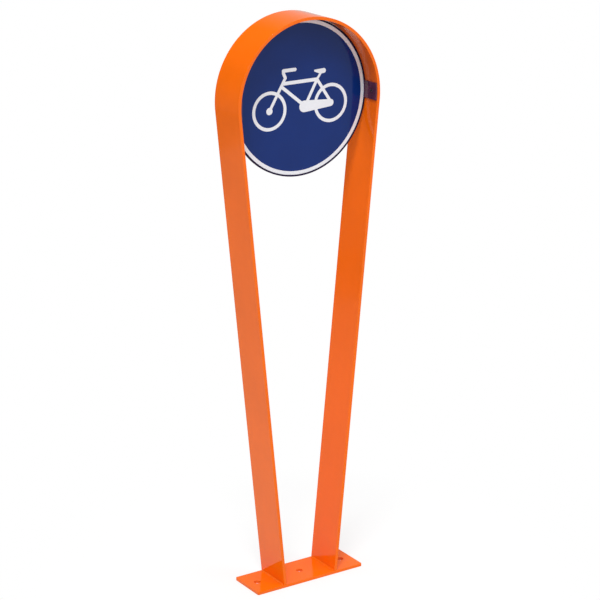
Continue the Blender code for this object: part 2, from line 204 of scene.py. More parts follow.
class SIGNPOST_PG_sizes(bpy.types.PropertyGroup):
    band_edge_round: length_property(
        "Band edge rounding", "Radius of the painted band's long edges", 0.6, 0.2, 2)
    plate_edge_round: length_property(
        "Plate edge rounding", "Radius of the foot plate's edges", 0.6, 0.2, 2)
    plate_corner_radius: length_property(
        "Plate corner radius", "Radius of the foot plate's corners, seen from above", 3, 1, 20)
    anchor_hole_diameter: length_property(
        "Anchor hole", "Diameter of the three holes in the foot plate", 18, 6, 20)
    weld_ripple: length_property(
        "Weld ripple", "Distance from one ripple of a weld bead to the next", 2.4, 1, 6)


class SIGNPOST_PG_print(bpy.types.PropertyGroup):
    ring_outer: length_property(
        "Ring outside radius", "Outer edge of the white ring, from the sign's centre", 195.6, 150, 196)
    ring_inner: length_property(
        "Ring inside radius", "Inner edge of the white ring, from the sign's centre", 186.3, 140, 195)
    wheel_radius: length_property(
        "Wheel radius", "Outer radius of the bicycle's wheels", 49.9, 30, 60)
    wheel_line: length_property(
        "Wheel line", "Width of the line that draws the wheels", 8.5, 3, 15)
    film_thickness: length_property(
        "White film", "Thickness of the white film on the blue one", 0.12, 0.05, 0.2)


class SIGNPOST_PG_finishes(bpy.types.PropertyGroup):
    paint: colour_property("Paint", "Colour of the band, the plate and the welds", (0.93, 0.152, 0.003))
    paint_roughness: share_property("Paint roughness", "0 is a mirror, 1 is matt", 0.07, 0.02, 1)
    blue: colour_property("Blue film", "Ground colour of the sign", (0.0015, 0.0225, 0.158))
    white: colour_property("White film", "Colour of the ring and the bicycle", (0.815, 0.822, 0.868))
    rubber: colour_property("Edge rubber", "Colour of the trim round the sign", (0.011, 0.004, 0.030))
    clip: colour_property("Clip coating", "Colour of the clips and their screws", (0.085, 0.024, 0.046))


class SIGNPOST_PG_stage(bpy.types.PropertyGroup):
    key_power: power_property("Main lamp", "Power of the lamp high on the left, in front", 1000, 4000)
    fill_power: power_property("Fill lamp", "Power of the lower lamp in front, on the right", 66, 2000)
    sky_level: share_property("Room light", "Level of the even light from all round", 0.635, 0, 2)
    floor: colour_property("Floor", "Colour of the pale floor", (0.85, 0.85, 0.85))


# ---------------------------------------------------------------- mesh helpers
def add_object(name, data):
    item = bpy.data.objects.new(name, data)
    bpy.context.scene.collection.objects.link(item)
    return item


def add_mesh(name, mesh_data, material):
    """An object of one material from a bmesh, which is freed."""
    mesh = bpy.data.meshes.new(name)
    mesh_data.to_mesh(mesh)
    mesh_data.free()
    mesh.materials.append(material)
    return add_object(name, mesh)


def smooth(piece, sharp_degrees=SHARP):
    piece.data.shade_smooth()
    piece.data.set_sharp_from_angle(angle=math.radians(sharp_degrees))
    return piece


def place_mesh(name, mesh_data, material, sharp_degrees=SHARP):
    """A smooth object from a bmesh, with its faces out and its sharp edges kept."""
    bmesh.ops.recalc_face_normals(mesh_data, faces=mesh_data.faces)
    if mesh_data.calc_volume(signed=True) < 0:
        bmesh.ops.reverse_faces(mesh_data, faces=mesh_data.faces)
    return smooth(add_mesh(name, mesh_data, material), sharp_degrees)


def settle(piece):
    """Applies the piece's modifiers to its mesh, and removes the cutters they used."""
    cutters = [m.object for m in piece.modifiers if m.type == "BOOLEAN"]
    bpy.context.view_layer.update()
    depsgraph = bpy.context.evaluated_depsgraph_get()
    mesh = bpy.data.meshes.new_from_object(piece.evaluated_get(depsgraph))
    if not mesh.polygons:
        raise RuntimeError("no faces are left on " + piece.name)
    piece.modifiers.clear()
    piece.data = mesh
    mesh.name = piece.name
    for cutter in cutters:
        bpy.data.objects.remove(cutter, do_unlink=True)
    return piece


def even_normals(piece):
    """Large flat faces keep flat shading beside their rounded edges."""
    smooth(piece)
    weighted = piece.modifiers.new("even_normals", "WEIGHTED_NORMAL")
    weighted.mode = "FACE_AREA"
    weighted.weight = 100
    weighted.keep_sharp = True
    return piece


def round_edges(piece, width, segments):
    """Rounds the sharp edges when the piece is settled."""
    bevel = piece.modifiers.new("edge_round", "BEVEL")
    bevel.width = width
    bevel.segments = segments
    bevel.limit_method = "ANGLE"
    bevel.angle_limit = math.radians(SHARP)
    bevel.use_clamp_overlap = True


def cut(piece, mesh_data, operation="DIFFERENCE"):
    """Takes a shape from the piece, or joins it on, when the piece is settled."""
    cutter = place_mesh(piece.name + "_cutter", mesh_data, piece.data.materials[0])
    cutter.hide_render = True
    boolean = piece.modifiers.new("cut", "BOOLEAN")
    boolean.operation = operation
    boolean.solver = "EXACT"
    boolean.object = cutter


def sweep(sections, closed=False):
    """Skins a row of closed sections with equal point counts."""
    mesh_data = bmesh.new()
    loops = [[mesh_data.verts.new(point) for point in section] for section in sections]
    following = loops[1:] + loops[:1] if closed else loops[1:]
    for near, far in zip(loops, following):
        for index in range(len(near)):
            after = (index + 1) % len(near)
            mesh_data.faces.new((near[index], near[after], far[after], far[index]))
    if not closed:
        mesh_data.faces.new(loops[0])
        mesh_data.faces.new(list(reversed(loops[-1])))
    return mesh_data


def prism(outline, front_y, back_y):
    """A flat shape of even thickness; its outline is a row of (x, z) points."""
    return sweep([[Vector((x, y, z)) for x, z in outline] for y in (front_y, back_y)])


def turned(profile, origin, axis, sides):
    """Spins a profile of (distance along the axis, radius) points that starts and ends on the axis."""
    axis = Vector(axis).normalized()
    across = axis.orthogonal().normalized()
    beside = axis.cross(across)
    origin = Vector(origin)
    mesh_data = bmesh.new()
    rings = []
    for along, radius in profile:
        middle = origin + axis * along
        if radius == 0:
            rings.append([mesh_data.verts.new(middle)])
            continue
        ring = []
        for step in range(sides):
            turn = math.tau * step / sides
            ring.append(mesh_data.verts.new(middle + (across * math.cos(turn)
                                                      + beside * math.sin(turn)) * radius))
        rings.append(ring)
    for near, far in zip(rings, rings[1:]):
        for step in range(sides):
            after = (step + 1) % sides
            corners = []
            for corner in (near[step % len(near)], near[after % len(near)],
                           far[after % len(far)], far[step % len(far)]):
                if corner not in corners:
                    corners.append(corner)
            mesh_data.faces.new(corners)
    return mesh_data


def drill(start, end, radius):
    """Profile of a plain round cutter, to be turned."""
    return [(start, 0), (start, radius), (end, radius), (end, 0)]


def arc(centre, radius, start, end, steps):
    """Points (a, b) on an arc, its ends included; angles in degrees."""
    points = []
    for step in range(steps + 1):
        angle = math.radians(start + (end - start) * step / steps)
        points.append((centre[0] + radius * math.cos(angle), centre[1] + radius * math.sin(angle)))
    return points


def polar(radius, angle):
    """x and z of a point round the arch's centre; the angle is in radians, 0 is to the right."""
    return radius * math.cos(angle), ARCH_CENTRE_Z + radius * math.sin(angle)


def spread(start, end, steps):
    """Evenly spaced values from start to end, both included."""
    return [start + (end - start) * step / steps for step in range(steps + 1)]


def ride(piece, slot, *nodes):
    """Fixes a piece to the body, in place of the named plain solids; slot is not used."""
    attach(piece, BODY)
    if nodes:
        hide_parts(*nodes)


def dress(name, mesh_data, finish, slot, node, sharp_degrees=SHARP):
    """Makes a piece that needs no modifier and puts it in the place of one plain solid."""
    ride(place_mesh(name, mesh_data, finish_of(finish), sharp_degrees), slot, node)


# ---------------------------------------------------------------- material helpers
EDGE_OPENNESS = (0.92, 0.55)        # openness just inside a surface: whole face, worn edge
SHELTER_OPENNESS = (0.97, 0.60)     # openness outside it: open, sheltered


class Nodes:
    """Short ways to lay nodes into one material, or into the room that lights the object."""

    def __init__(self, name, room=False):
        kind, shader, place = ((bpy.data.worlds, "Background", "Generated") if room
                               else (bpy.data.materials, "Principled BSDF", "Object"))
        self.made = kind.new(name)
        self.made.use_nodes = True
        self.tree = self.made.node_tree
        self.shader = self.tree.nodes[shader]
        self.place = self.add("TexCoord").outputs[place]

    def link(self, source, socket):
        """Feeds a socket; a plain number or colour stands on the socket itself."""
        if isinstance(source, (int, float)):
            socket.default_value = source
        elif isinstance(source, tuple):
            socket.default_value = (*source[:3], 1.0) if len(socket.default_value) == 4 else source
        else:
            self.tree.links.new(source, socket)

    def feed(self, node, **sockets):
        for name, source in sockets.items():
            self.link(source, node.inputs[name.replace("_", " ")])

    def add(self, kind, **sockets):
        node = self.tree.nodes.new("ShaderNode" + kind)
        self.feed(node, **sockets)
        return node

    def set(self, **sockets):
        """Feeds the shader, and gives back the finished material or room."""
        self.feed(self.shader, **sockets)
        return self.made

    def stretch(self, scale):
        return self.add("Mapping", Scale=scale, Vector=self.place).outputs["Vector"]

    def noise(self, scale, detail=3.0, roughness=0.5, vector=None, distortion=0.0):
        return self.add("TexNoise", Scale=scale, Detail=detail, Roughness=roughness, Distortion=distortion,
                        Vector=vector or self.place).outputs["Fac"]

    def cells(self, scale):
        return self.add("TexVoronoi", Scale=scale, Vector=self.place).outputs["Distance"]

    def span(self, source, low, high, to_low=0.0, to_high=1.0):
        """Maps low..high to to_low..to_high, with the ends held."""
        node = self.add("MapRange", Value=source, From_Min=low, From_Max=high, To_Min=to_low, To_Max=to_high)
        node.clamp = True
        return node.outputs["Result"]

    def math(self, operation, *sources):
        node = self.add("Math")
        node.operation = operation
        for source, socket in zip(sources, node.inputs):
            self.link(source, socket)
        return node.outputs[0]

    def blend(self, factor, first, second):
        node = self.add("Mix", Factor=factor)
        node.data_type = "RGBA"
        self.link(first, node.inputs[6])
        self.link(second, node.inputs[7])
        return node.outputs[2]

    def tint(self, base, mask, amount, colour):
        """Lays a colour over the base where the mask is 1."""
        return self.blend(self.math("MULTIPLY", mask, amount), base, colour)

    def stain(self, base, source, low, high, amount, colour):
        """Lays a colour over the base in patches: none where the source is low, the amount where high."""
        return self.blend(self.span(source, low, high, 0.0, amount), base, colour)

    def axes(self):
        split = self.add("SeparateXYZ", Vector=self.place).outputs
        return split["X"], split["Y"], split["Z"]

    def edges(self, reach, patches=140.0):
        """1 along the piece's outer edges, broken up into patches, and 0 on its flat faces."""
        node = self.add("AmbientOcclusion", Distance=reach)
        node.samples = 4
        node.inside = True
        node.only_local = True
        near = self.span(node.outputs["AO"], *EDGE_OPENNESS)
        return self.math("MULTIPLY", near, self.span(self.noise(patches, 4.0, 0.7), 0.46, 0.70))

    def sheltered(self, reach):
        """1 where other surfaces stand close by, 0 in the open."""
        node = self.add("AmbientOcclusion", Distance=reach)
        node.samples = 4
        return self.span(node.outputs["AO"], *SHELTER_OPENNESS)

    def bump(self, height, distance, strength, under=None):
        node = self.add("Bump", Strength=strength, Distance=distance, Height=height)
        if under is not None:
            self.link(under, node.inputs["Normal"])
        return node.outputs["Normal"]


def chosen(name):
    """A colour from the finishes that a user may change."""
    return tuple(getattr(bpy.context.scene.signpost_finishes, name))


def shade(colour, factor):
    return tuple(min(1.0, channel * factor) for channel in colour)


MADE = {}


def finish_of(maker):
    """Each material is made once, when a piece first asks for it."""
    if maker.__name__ not in MADE:
        MADE[maker.__name__] = maker()
    return MADE[maker.__name__]


def orange_paint():
    """Glossy powder coat: orange peel, faint clouds, worn edges, a grimy foot, painted shade in the arch's
    upper part near other surfaces.
    """
    colour = chosen("paint")
    rough = bpy.context.scene.signpost_finishes.paint_roughness
    nodes = Nodes("orange_paint_coat")
    clouds = nodes.noise(5.0, 4.0, 0.55)
    mottle = nodes.noise(60.0, 3.0, 0.6)
    height = nodes.axes()[2]
    base = nodes.blend(nodes.span(clouds, 0.35, 0.68), shade(colour, 0.955), shade(colour, 1.03))
    base = nodes.stain(base, mottle, 0.45, 0.75, 0.16, shade(colour, 0.92))
    worn = nodes.edges(1.2 * MM)
    base = nodes.tint(base, worn, 0.38, shade(colour, 0.70))
    low = nodes.span(height, 0.16, 0.004)
    grime = nodes.math("MULTIPLY", low, nodes.span(nodes.noise(24.0, 5.0, 0.62), 0.52, 0.80))
    base = nodes.tint(base, grime, 0.20, (0.42, 0.14, 0.045))
    # Painted shade: a dark brownish red laid where other surfaces stand within 60 mm, fading in from 1.25 m
    # to 1.31 m up the arch.
    dust_and_painted_shade = nodes.math("MULTIPLY", nodes.sheltered(60 * MM), nodes.span(height, 1.25, 1.31, 0.0, 0.36))
    base = nodes.blend(dust_and_painted_shade, base, (0.42, 0.10, 0.07))
    scratches = nodes.noise(1.0, 3.0, 0.6, nodes.stretch((300.0, 300.0, 9.0)), 0.4)
    scuff = nodes.span(scratches, 0.66, 0.78, 0.0, 0.10)
    roughness = nodes.span(nodes.noise(11.0, 4.0, 0.6), 0.30, 0.75, rough * 0.80, rough * 1.35)
    roughness = nodes.math("ADD", roughness, scuff)
    dulled = nodes.math("MULTIPLY", nodes.math("MAXIMUM", grime, worn), 0.22)
    roughness = nodes.math("ADD", roughness, dulled)
    peel = nodes.bump(nodes.noise(520.0, 2.0, 0.45), 0.02 * MM, 0.5)
    wave = nodes.bump(nodes.noise(26.0, 2.0, 0.4), 0.10 * MM, 0.35, peel)
    return nodes.set(Base_Color=base, Roughness=roughness, Normal=wave, IOR=1.28)


def blue_sheeting():
    """Smooth glossy traffic film: a faint bead pattern below a clear face."""
    colour = chosen("blue")
    nodes = Nodes("blue_traffic_film")
    clouds = nodes.noise(9.0, 4.0, 0.5)
    base = nodes.blend(nodes.span(clouds, 0.32, 0.70), shade(colour, 0.93), shade(colour, 1.07))
    beads = nodes.cells(900.0)
    base = nodes.stain(base, beads, 0.15, 0.75, 0.16, shade(colour, 0.72))
    dust_and_painted_shade = nodes.span(nodes.noise(38.0, 6.0, 0.66), 0.60, 0.82, 0.0, 0.10)
    base = nodes.blend(dust_and_painted_shade, base, (0.030, 0.062, 0.19))
    roughness = nodes.span(nodes.noise(14.0, 5.0, 0.62), 0.30, 0.75, 0.05, 0.12)
    normal = nodes.bump(beads, 0.004 * MM, 0.5)
    normal = nodes.bump(nodes.noise(20.0, 2.0, 0.5), 0.08 * MM, 0.3, normal)
    return nodes.set(Base_Color=base, Roughness=roughness, Normal=normal, IOR=1.3)


def white_sheeting():
    """White traffic film with the same beads as the blue, a little dustier."""
    colour = chosen("white")
    nodes = Nodes("white_traffic_film")
    clouds = nodes.noise(16.0, 5.0, 0.6)
    base = nodes.blend(nodes.span(clouds, 0.32, 0.72), shade(colour, 0.965), shade(colour, 1.02))
    beads = nodes.cells(900.0)
    base = nodes.stain(base, beads, 0.2, 0.8, 0.12, shade(colour, 0.86))
    dust_and_painted_shade = nodes.span(nodes.noise(44.0, 6.0, 0.66), 0.60, 0.80, 0.0, 0.10)
    base = nodes.blend(dust_and_painted_shade, base, (0.60, 0.58, 0.55))
    roughness = nodes.span(nodes.noise(17.0, 4.0, 0.6), 0.30, 0.75, 0.08, 0.18)
    return nodes.set(Base_Color=base, Roughness=roughness, Normal=nodes.bump(beads, 0.004 * MM, 0.5),
                     IOR=1.5)


def rolled_aluminium():
    """Mill-finish sheet: fine lines along the rolling direction, dulled in patches."""
    nodes = Nodes("rolled_aluminium")
    lines = nodes.noise(1.0, 4.0, 0.65, nodes.stretch((6.0, 6.0, 900.0)))
    patches = nodes.noise(13.0, 5.0, 0.6)
    base = nodes.blend(nodes.span(lines, 0.3, 0.7), (0.60, 0.61, 0.62), (0.68, 0.685, 0.69))
    base = nodes.stain(base, patches, 0.48, 0.78, 0.25, (0.52, 0.53, 0.54))
    worn = nodes.edges(0.8 * MM)
    base = nodes.tint(base, worn, 0.5, (0.40, 0.41, 0.42))
    roughness = nodes.span(patches, 0.3, 0.75, 0.34, 0.44)
    scratch = nodes.span(nodes.noise(1.0, 2.0, 0.5, nodes.stretch((18.0, 18.0, 420.0)), 1.5), 0.68, 0.74)
    roughness = nodes.math("ADD", roughness, nodes.math("MULTIPLY", scratch, 0.12))
    normal = nodes.bump(lines, 0.012 * MM, 0.6)
    return nodes.set(Base_Color=base, Metallic=1.0, Roughness=roughness, Normal=normal)


def edge_rubber():
    """Dark extruded rubber: fine grain, a pale bloom, edges rubbed paler."""
    colour = chosen("rubber")
    nodes = Nodes("edge_rubber")
    grain = nodes.noise(700.0, 3.0, 0.6)
    bloom = nodes.noise(35.0, 5.0, 0.6)
    base = nodes.blend(nodes.span(bloom, 0.40, 0.75, 0.0, 0.55), colour, shade(colour, 1.8))
    base = nodes.stain(base, grain, 0.5, 0.8, 0.3, shade(colour, 0.6))
    worn = nodes.edges(0.5 * MM, 220.0)
    base = nodes.tint(base, worn, 0.4, (0.024, 0.017, 0.036))
    roughness = nodes.span(bloom, 0.3, 0.75, 0.34, 0.52)
    roughness = nodes.math("MULTIPLY_ADD", worn, 0.15, roughness)
    return nodes.set(Base_Color=base, Roughness=roughness, Normal=nodes.bump(grain, 0.02 * MM, 0.4),
                     IOR=1.16)


def clip_coating():
    """Dark glossy powder coat, with metal showing faintly along its edges."""
    colour = chosen("clip")
    nodes = Nodes("clip_powder_coat")
    grain = nodes.noise(650.0, 3.0, 0.55)
    clouds = nodes.noise(45.0, 5.0, 0.6)
    base = nodes.blend(nodes.span(clouds, 0.35, 0.72), shade(colour, 0.85), shade(colour, 1.5))
    worn = nodes.edges(0.9 * MM, 260.0)
    base = nodes.tint(base, worn, 0.45, (0.16, 0.13, 0.14))
    roughness = nodes.span(clouds, 0.3, 0.75, 0.08, 0.16)
    return nodes.set(Base_Color=base, Roughness=roughness, Normal=nodes.bump(grain, 0.015 * MM, 0.3),
                     IOR=1.45)


def screw_black():
    """Blackened steel, bright where a key has rubbed its edges."""
    nodes = Nodes("blackened_screw_steel")
    clouds = nodes.noise(420.0, 4.0, 0.6)
    base = nodes.blend(nodes.span(clouds, 0.35, 0.72), (0.060, 0.034, 0.042), (0.095, 0.060, 0.068))
    base = nodes.tint(base, nodes.edges(0.35 * MM, 500.0), 0.6, (0.22, 0.20, 0.20))
    roughness = nodes.span(nodes.noise(900.0, 3.0, 0.6), 0.3, 0.75, 0.24, 0.42)
    return nodes.set(Base_Color=base, Metallic=0.35, Roughness=roughness,
                     Normal=nodes.bump(clouds, 0.01 * MM, 0.5))


def zinc_plate():
    """Bright zinc with the faint yellow and blue cast of its passivation."""
    nodes = Nodes("bright_zinc_plate")
    clouds = nodes.noise(260.0, 4.0, 0.6)
    cast = nodes.noise(120.0, 3.0, 0.5)
    base = nodes.blend(nodes.span(cast, 0.35, 0.68), (0.60, 0.63, 0.68), (0.68, 0.66, 0.57))
    base = nodes.stain(base, clouds, 0.55, 0.80, 0.5, (0.42, 0.42, 0.41))
    worn = nodes.edges(0.4 * MM, 400.0)
    base = nodes.tint(base, worn, 0.6, (0.34, 0.33, 0.32))
    roughness = nodes.span(clouds, 0.3, 0.75, 0.22, 0.44)
    roughness = nodes.math("MULTIPLY_ADD", worn, 0.12, roughness)
    return nodes.set(Base_Color=base, Metallic=1.0, Roughness=roughness,
                     Normal=nodes.bump(nodes.noise(1500.0, 2.0, 0.5), 0.008 * MM, 0.5))


def stud_steel():
    """Bright stainless steel with fine lines left by the thread rolls."""
    nodes = Nodes("bright_stud_steel")
    lines = nodes.noise(1.0, 3.0, 0.6, nodes.stretch((300.0, 2600.0, 300.0)))
    base = nodes.blend(nodes.span(lines, 0.3, 0.7), (0.50, 0.50, 0.49), (0.68, 0.68, 0.66))
    base = nodes.tint(base, nodes.edges(0.3 * MM, 600.0), 0.6, (0.36, 0.35, 0.34))
    roughness = nodes.span(lines, 0.3, 0.7, 0.20, 0.36)
    return nodes.set(Base_Color=base, Metallic=1.0, Roughness=roughness,
                     Normal=nodes.bump(lines, 0.006 * MM, 0.5))


# ---------------------------------------------------------------- band
def leg_lean():
    """The legs' angle to the vertical, so that they run into the arch without a kink."""
    rise = ARCH_CENTRE_Z - FOOT_Z
    reach = math.hypot(FOOT_SPREAD / 2, rise)
    return math.asin(ARCH_RADIUS / reach) - math.atan2(FOOT_SPREAD / 2, rise)


def foot_inner_x():
    """Where the right leg's inner face meets the plate."""
    return FOOT_SPREAD / 2 - BAND_THICKNESS / math.cos(leg_lean())


def band_profile(edge_round):
    """(inward, y) points round the band's section: inward from the outer face."""
    half = BAND_DEPTH / 2
    side = half - edge_round
    flat = side - BAND_FACE_MARGIN
    thick, middle, inner = BAND_THICKNESS, BAND_THICKNESS / 2, BAND_THICKNESS - edge_round
    return (arc((edge_round, -side), edge_round, 180, 270, EDGE_STEPS) + [(middle, -half)]
            + arc((inner, -side), edge_round, 270, 360, EDGE_STEPS) + [(thick, -flat), (thick, flat)]
            + arc((inner, side), edge_round, 0, 90, EDGE_STEPS) + [(middle, half)]
            + arc((edge_round, side), edge_round, 90, 180, EDGE_STEPS) + [(0.0, flat), (0.0, -flat)])


def band_stations():
    """(outer point, inward direction) in the x-z plane from the right foot over the arch to the left."""
    lean = leg_lean()
    stations = []
    right_in = Vector((-math.cos(lean), 0, math.sin(lean)))
    foot = Vector((FOOT_SPREAD / 2, 0, FOOT_Z))
    x, z = polar(ARCH_RADIUS, -lean)
    shoulder = Vector((x, 0, z))
    for step in range(LEG_STEPS):
        stations.append((foot.lerp(shoulder, step / LEG_STEPS), right_in))
    for angle in spread(-lean, math.pi + lean, ARCH_STEPS):
        x, z = polar(ARCH_RADIUS, angle)
        stations.append((Vector((x, 0, z)), Vector((-math.cos(angle), 0, -math.sin(angle)))))
    mirrored = []
    for point, inward in stations[:LEG_STEPS]:
        mirrored.append((Vector((-point.x, 0, point.z)), Vector((-inward.x, 0, inward.z))))
    return stations + mirrored[::-1]


def make_band():
    """Carries the section along the whole path; both ends are level at the feet."""
    profile = band_profile(bpy.context.scene.signpost_sizes.band_edge_round)
    sections = []
    lean = leg_lean()
    stations = band_stations()
    for index, (outer, inward) in enumerate(stations):
        section = []
        for depth, y in profile:
            point = outer + inward * depth
            if index in (0, len(stations) - 1):
                side = 1 if outer.x > 0 else -1
                point = Vector((side * (FOOT_SPREAD / 2 - depth / math.cos(lean)), 0, FOOT_Z))
            section.append(Vector((point.x, y, point.z)))
        sections.append(section)
    band = place_mesh("painted_arch", sweep(sections), finish_of(orange_paint))
    hole = drill(ARCH_RADIUS - BAND_THICKNESS - CUT_MARGIN, ARCH_RADIUS - SCREW_BLIND_FLOOR,
                 SCREW_SHANK_DIAMETER / 2 + GAP)
    for side in SIDES.values():
        for y in (-SCREW_Y, SCREW_Y):
            cut(band, turned(hole, (0, y, ARCH_CENTRE_Z), (side, 0, 0), THREAD_SIDES))
    ride(even_normals(settle(band)), "orange_paint", "arch_band")


# ---------------------------------------------------------------- foot plate
def make_foot_plate():
    """A plate with round corners and edges, and three holes on its long middle line."""
    sizes = bpy.context.scene.signpost_sizes
    length = PLATE_HIGH.x - PLATE_LOW.x
    depth = PLATE_HIGH.y - PLATE_LOW.y
    radius = sizes.plate_corner_radius
    outline = []
    for x_side, y_side, start in ((1, 1, 0), (-1, 1, 90), (-1, -1, 180), (1, -1, 270)):
        centre = (x_side * (length / 2 - radius), y_side * (depth / 2 - radius))
        outline += arc(centre, radius, start, start + 90, CORNER_STEPS)
    sections = [[Vector((x, y, z)) for x, y in outline] for z in (PLATE_LOW.z, PLATE_TOP_Z)]
    plate = place_mesh("painted_foot_plate", sweep(sections), finish_of(orange_paint))
    hole = drill(-CUT_MARGIN, PLATE_TOP_Z + CUT_MARGIN, sizes.anchor_hole_diameter / 2)
    for place in (-1, 0, 1):
        cut(plate, turned(hole, (place * ANCHOR_SPACING, 0, PLATE_LOW.z), (0, 0, 1), HOLE_SIDES))
    round_edges(plate, sizes.plate_edge_round, EDGE_STEPS)
    ride(even_normals(settle(plate)), "orange_paint", "base_plate")


def weld_bead(corner, away, up):
    """A rippled fillet between the plate and a leg's face, run out at both ends."""
    ripple = bpy.context.scene.signpost_sizes.weld_ripple
    half_length = BAND_DEPTH / 2 - WELD_MARGIN
    root = corner + (away + up) * (GAP / away.cross(up).length)
    count = int(2 * half_length / (ripple / RIPPLE_STEPS))
    sections = []
    for y in spread(-half_length, half_length, count):
        from_end = (half_length - abs(y)) / WELD_LEG
        run_out = min(1.0, WELD_END_SIZE + (1 - WELD_END_SIZE) * math.sqrt(max(0.0, from_end)))
        section = [root + Vector((0, y, 0))]
        for step, angle in enumerate(spread(0, math.pi / 2, BEAD_STEPS)):
            phase = (y / ripple + WELD_WAVE_LAG * math.sin(2 * angle)) % 1.0
            wave = 1 - WELD_WAVE_DEPTH * (1 - math.sin(math.pi * phase) ** WELD_WAVE_SHAPE)
            if step in (0, BEAD_STEPS):
                wave = 1.0
            across, along = math.cos(angle) ** WELD_FULLNESS, math.sin(angle) ** WELD_FULLNESS
            point = root + WELD_LEG * run_out * wave * (away * across + up * along)
            section.append(point + Vector((0, y, 0)))
        sections.append(section)
    return sweep(sections)


def make_welds():
    """A bead outside and inside each leg."""
    lean = leg_lean()
    for name, side in SIDES.items():
        up = Vector((side * math.sin(lean), 0, math.cos(lean)))
        for face, x, direction in (("outer", FOOT_SPREAD / 2, side), ("inner", foot_inner_x(), -side)):
            corner = Vector((side * x, 0, PLATE_TOP_Z))
            bead = weld_bead(corner, Vector((direction, 0, 0)), up)
            where = name + "_" + face
            dress("painted_weld_" + where, bead, orange_paint, "orange_paint", "foot_weld_" + where,
                  SHARP_ON_BEADS)


# ---------------------------------------------------------------- sign
def notched_disc(radius):
    """Outline of the sign's sheets: round, with a shallow notch round each clip's pad."""
    notch_radius = PAD_INNER - GAP
    notch = (CLIP_HALF_HEIGHT + GAP) / notch_radius
    outline = []
    for turn in (0, math.pi):
        for angle in spread(turn - notch, turn + notch, NOTCH_STEPS):
            outline.append(polar(notch_radius, angle))
        for angle in spread(turn + notch, turn + math.pi - notch, SHEET_STEPS):
            outline.append(polar(radius, angle))
    return outline


def make_sign_sheets():
    """The blue film, and the aluminium sheet that carries it."""
    outline = notched_disc(SHEET_RADIUS)
    film = prism(outline, FILM_LOW.y, FILM_HIGH.y)
    dress("blue_film_face", film, blue_sheeting, "blue_film", "sign_face")
    sheet = place_mesh("aluminium_sign_sheet", prism(outline, SHEET_LOW.y, SHEET_HIGH.y),
                       finish_of(rolled_aluminium))
    round_edges(sheet, SHEET_EDGE_ROUND, 2)
    ride(even_normals(settle(sheet)), "plate_aluminium", "sign_plate")


def film_ring(centre, outer, inner, sides):
    """A flat ring of white film; its centre is measured from the sign's centre."""
    back = FILM_LOW.y
    front = back - bpy.context.scene.signpost_print.film_thickness
    profile = ((inner, back), (outer, back), (outer, front), (inner, front))
    sections = []
    for step in range(sides):
        angle = math.tau * step / sides
        sections.append([Vector((centre[0] + radius * math.cos(angle), y,
                                 ARCH_CENTRE_Z + centre[1] + radius * math.sin(angle)))
                         for radius, y in profile])
    return sweep(sections, closed=True)


def hull_outline(circles):
    """Outline round a few circles, as if a cord were drawn tight; millimetres from the sign's centre."""
    points = []
    for x, z, radius in circles:
        points += [Vector((x * MM + radius * MM * math.cos(math.tau * step / LINE_END_SIDES),
                           z * MM + radius * MM * math.sin(math.tau * step / LINE_END_SIDES)))
                   for step in range(LINE_END_SIDES)]
    points.sort(key=lambda point: (round(point.x, 9), round(point.y, 9)))
    halves = []
    for ordered in (points, points[::-1]):
        half = []
        for point in ordered:
            while len(half) > 1 and (half[-1] - half[-2]).cross(point - half[-1]) <= NO_TURN:
                half.pop()
            half.append(point)
        halves.append(half[:-1])
    return [(point.x, ARCH_CENTRE_Z + point.y) for point in halves[0] + halves[1]]


def bicycle_shapes():
    """Outlines of the bicycle's lines, from front to back, and of its saddle."""
    shapes = []
    for start, end, *widths in BICYCLE_LINES:
        shapes.append(hull_outline([(*start, widths[0] / 2), (*end, widths[-1] / 2)]))
    return shapes + [hull_outline(SADDLE_ROUNDS)]


def flatten_film(piece, front):
    """Presses the joined shapes into one even film between its front and the blue one."""
    mesh_data = bmesh.new()
    mesh_data.from_mesh(piece.data)
    bmesh.ops.triangulate(mesh_data, faces=mesh_data.faces)
    middle = (front + FILM_LOW.y) / 2
    for vertex in mesh_data.verts:
        vertex.co.y = front if vertex.co.y < middle else FILM_LOW.y
    bmesh.ops.remove_doubles(mesh_data, verts=mesh_data.verts, dist=SAME_POINT)
    bmesh.ops.dissolve_degenerate(mesh_data, edges=mesh_data.edges, dist=NO_FACE)
    if any(len(edge.link_faces) != 2 for edge in mesh_data.edges):
        raise RuntimeError("the film of " + piece.name + " isn't closed")
    mesh_data.to_mesh(piece.data)
    mesh_data.free()
    piece.data.set_sharp_from_angle(angle=math.radians(SHARP))
    return piece


def make_sign_print():
    """The ring, and the bicycle joined from its wheels, its lines and its saddle."""
    drawing = bpy.context.scene.signpost_print
    ring = place_mesh("white_ring", film_ring((0, 0), drawing.ring_outer, drawing.ring_inner, RING_SIDES),
                      finish_of(white_sheeting))
    ride(ring, None)
    front = FILM_LOW.y - drawing.film_thickness
    outer, inner = drawing.wheel_radius, drawing.wheel_radius - drawing.wheel_line
    front_wheel, rear_wheel = (film_ring((x * MM, z * MM), outer, inner, WHEEL_SIDES)
                               for x, z in (FRONT_HUB, REAR_HUB))
    bicycle = place_mesh("white_bicycle", front_wheel, finish_of(white_sheeting))
    bmesh.ops.translate(rear_wheel, verts=rear_wheel.verts, vec=(0, -PRINT_LIFT, 0))
    cut(bicycle, rear_wheel, "UNION")
    for index, outline in enumerate(bicycle_shapes(), start=2):
        lift = PRINT_LIFT * index
        cut(bicycle, prism(outline, front - lift, FILM_LOW.y - lift), "UNION")
    ride(flatten_film(settle(bicycle), front), None)


